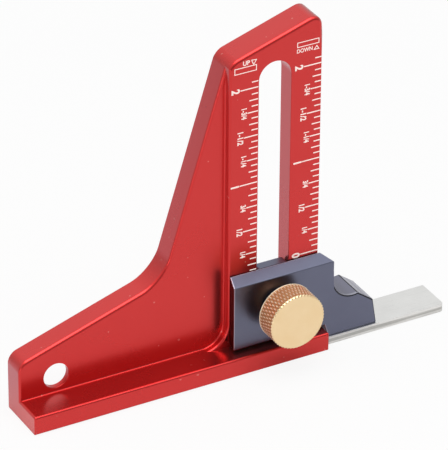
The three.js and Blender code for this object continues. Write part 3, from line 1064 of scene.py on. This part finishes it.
def markText(bm, text, height, place, turned, width, weight):
    # place is the (x, z) middle of the text, and turned text reads downwards
    front, deep = markDepths()
    curve = bpy.data.curves.new("label", "FONT")
    curve.body = text
    curve.size = height / scaleSizes["capShare"]
    curve.align_x = "CENTER"
    curve.align_y = "CENTER"
    curve.offset = weight
    curve.extrude = deep / 2
    holder = bpy.data.objects.new("label", curve)
    scene.collection.objects.link(holder)
    bpy.context.view_layer.update()
    mesh = bpy.data.meshes.new_from_object(
        holder.evaluated_get(bpy.context.evaluated_depsgraph_get()))
    bpy.data.objects.remove(holder)
    low = [min(vert.co[axis] for vert in mesh.vertices) for axis in range(2)]
    high = [max(vert.co[axis] for vert in mesh.vertices) for axis in range(2)]
    mesh.transform(Matrix.Translation((-(low[0] + high[0]) / 2, -(low[1] + high[1]) / 2, 0)))
    mesh.transform(Matrix.Diagonal((width, height / (high[1] - low[1]), 1, 1)))
    across, up = ((0, 0, -1), (1, 0, 0)) if turned else ((1, 0, 0), (0, 0, 1))
    turn = Matrix((across, up, (0, -1, 0))).transposed().to_4x4()
    mesh.transform(Matrix.Translation((place[0], front + deep / 2, place[1])) @ turn)
    bm.from_mesh(mesh)


def labelOf(step):
    whole, rest = divmod(step, scaleSizes["divisions"])
    names = {0: "", 4: "1/4", 8: "1/2", 12: "3/4"}
    return "-".join(word for word in (str(whole) if whole or not rest else "", names[rest])
                    if word)


def scaleMarks(edge, zero, first):
    bm = bmesh.new()
    half, kinds = scaleSizes["line"] / 2, scaleSizes["kinds"]
    for step in range(first, scaleSizes["last"] + 1):
        length, *figures = next(kinds[kind] for kind in kinds if step % kind == 0)
        z = zero + step * scaleSizes["inch"] / scaleSizes["divisions"]
        left = edge - length
        markBox(bm, (left, z - half), (edge, z + half))
        if figures:
            height, width, weight = figures
            middle = left - scaleSizes["labelGap"] - height / 2
            markText(bm, labelOf(step), height, (middle, z), True, width, weight)
    return bm


def markRing(bm, corners):
    # an outlined shape: the face's inset rim, given the marks' thickness
    front, deep = markDepths()
    face = pathFace(bm, [(x, front, z) for x, z in corners])
    face.normal_update()
    rim = bmesh.ops.inset_individual(bm, faces=[face], thickness=scaleSizes["ring"],
                                     use_even_offset=True)
    bmesh.ops.delete(bm, geom=[face], context="FACES")
    made = bmesh.ops.extrude_face_region(bm, geom=rim["faces"], use_keep_orig=True)["geom"]
    bmesh.ops.translate(bm, verts=cornersOf(newFaces(made)), vec=(0, deep, 0))


def buildScale(name, edge, zero, first, box, arrow, word):
    bm = scaleMarks(edge, zero, first)
    left, low, right, high = box
    markRing(bm, [(left, low), (right, low), (right, high), (left, high)])
    markRing(bm, arrow)
    markText(bm, *word)
    bmesh.ops.remove_doubles(bm, verts=bm.verts, dist=weld)
    bmesh.ops.recalc_face_normals(bm, faces=bm.faces)
    return finishPiece(makeObject(name, bm), white, "body", [])


scaleUp = buildScale("scale_up", scaleSizes["upEdge"], scaleSizes["upZero"], first=1,
                     box=(55.6, 78.25, 61.5, 79.85),
                     arrow=[(59.95, 81.3), (60.64, 79.72), (61.55, 81.2)],
                     word=("UP", 1.2, (58.75, 80.75), False, 0.92, 0.045))
scaleDown = buildScale("scale_down", scaleSizes["downEdge"], scaleSizes["downZero"], first=0,
                       box=(72.15, 81.27, 78.05, 82.65),
                       arrow=[(76.5, 79.72), (78.15, 79.72), (77.42, 80.85)],
                       word=("DOWN", 1.05, (74.2, 80.35), False, 0.88, 0.03))
print("scales made")


# Stage: plain floor, soft light and the camera at the photograph's angle

def lightPaths(wire):
    # 1 for rays from the camera or through glass, and 1 for mirrored rays
    seen, mirrored, through = (wire.add("ShaderNodeLightPath", output=output)
                               for output in ("Is Camera Ray", "Is Glossy Ray",
                                              "Is Transmission Ray"))
    return wire.maths("MAXIMUM", seen, through), mirrored


def sceneWorld():
    # white where it is seen; where it is mirrored, darker at the horizon and in front
    world = bpy.data.worlds.new("studio")
    world.use_nodes = True
    world.node_tree.nodes.clear()
    wire = Wire(world.node_tree)
    seen, mirrored = lightPaths(wire)
    direction = wire.add("ShaderNodeTexCoord", output="Generated")
    depth, height = axesOf(wire, direction, (1, 2))
    rise = sweep(wire, height, *stage["rise"], stage["horizon"], 1)
    front = sweep(wire, depth, *stage["inFront"], 0, stage["frontShade"])
    front = front * sweep(wire, height, *stage["frontTop"], 0, 1)
    strength = stage["sky"] + mirrored * (rise - front - stage["sky"])
    strength = strength + seen * (1 - strength)
    sky = wire.add("ShaderNodeBackground", inputs={"Color": (1, 1, 1, 1), "Strength": strength})
    wire.add("ShaderNodeOutputWorld", inputs={"Surface": sky})
    scene.world = world


def floorMaterial():
    material, wire = newMaterial("floor")
    cloud = noise(wire, objectPlace(wire), 3, 2)
    base = blend(wire, cloud, stage["floor"], stage["floorPale"])
    seen, mirrored = lightPaths(wire)
    across, deep = axesOf(wire, objectPlace(wire), (0, 1))
    behind = (sweep(wire, deep, *stage["behindFrom"], 0, 1)
              * sweep(wire, across, *stage["behindTo"], 0, 1))
    base = blend(wire, behind * mirrored * stage["behindShare"], base, stage["behindShade"])
    lit = wire.add("ShaderNodeBsdfPrincipled", inputs={"Base Color": base, "Roughness": 0.9,
                                                       "Specular IOR Level": 0.1})
    white = wire.add("ShaderNodeEmission", inputs={"Color": (1, 1, 1, 1), "Strength": 1.0})
    share = wire.maths("MAXIMUM", seen * stage["whiteSeen"], mirrored * stage["whiteMirrored"])
    surface = wire.add("ShaderNodeMixShader", inputs={0: share, 1: lit, 2: white})
    wire.add("ShaderNodeOutputMaterial", inputs={"Surface": surface})
    return material


def buildFloor():
    bm = bmesh.new()
    bmesh.ops.create_grid(bm, x_segments=2, y_segments=2, size=stage["floorSize"])
    bmesh.ops.translate(bm, verts=bm.verts, vec=(0, 0, -stage["floorGap"]))
    floor = makeObject("floor", bm)
    floor.data.materials.append(floorMaterial())


def areaLight(name, place, size, power, aim):
    lamp = bpy.data.lights.new(name, "AREA")
    lamp.shape = "DISK"
    lamp.size = size
    lamp.energy = power
    holder = bpy.data.objects.new(name, lamp)
    holder.location = place
    holder.rotation_euler = (Vector(aim) - Vector(place)).to_track_quat("-Z", "Y").to_euler()
    scene.collection.objects.link(holder)


def buildCamera():
    view = {"azimuth": -29.03, "elevation": 30.65, "roll": 0.47, "distance": 0.97125,
            "aim": (0.0105, -0.00105, 0.04), "right": 0.002757, "up": -0.00003,
            "lens": 331.92, "sensor": 36.0}
    turn, rise, roll = (math.radians(view[key]) for key in ("azimuth", "elevation", "roll"))
    back = Vector((math.sin(turn) * math.cos(rise), -math.cos(turn) * math.cos(rise),
                   math.sin(rise)))
    right = Vector((math.cos(turn), math.sin(turn), 0))
    up = back.cross(right)
    rolled = right * math.cos(roll) + up * math.sin(roll)
    top = up * math.cos(roll) - right * math.sin(roll)
    camera = bpy.data.cameras.new("camera")
    camera.lens = view["lens"]
    camera.sensor_width = view["sensor"]
    camera.sensor_fit = "AUTO"
    camera.clip_start, camera.clip_end = 0.01, 20
    holder = bpy.data.objects.new("camera", camera)
    place = (Vector(view["aim"]) + rolled * view["right"] + top * view["up"]
             + back * view["distance"])
    turned = Matrix((rolled, top, back)).transposed().to_4x4()
    holder.matrix_world = Matrix.Translation(place) @ turned
    scene.collection.objects.link(holder)
    scene.camera = holder


stage = {"sky": 0.5, "horizon": 0.62, "rise": (0.1, 0.8), "frontShade": 0.3,
         "inFront": (-0.1, -0.7), "frontTop": (0.85, 0.55), "floor": (0.88, 0.88, 0.88, 1),
         "floorPale": (0.92, 0.92, 0.92, 1), "floorSize": 3.0, "floorGap": 0.0001,
         "whiteSeen": 0.88, "whiteMirrored": 0.2, "behindShade": (0.34, 0.6, 0.8, 1),
         "behindShare": 0.45, "behindFrom": (0, 0.02), "behindTo": (0.05, 0.01)}
scene.view_settings.view_transform = "Standard"
sceneWorld()
buildFloor()
areaLight("key", (-0.1, -0.14, 0.92), size=0.85, power=4.6, aim=(0, 0, 0.03))
areaLight("right", (0.42, -0.38, 0.82), size=0.25, power=0.36, aim=(0, 0, 0.03))
areaLight("left", (-0.84, -0.56, 0.06), size=0.3, power=0.7, aim=(0, 0, 0.04))
buildCamera()
print("stage made")
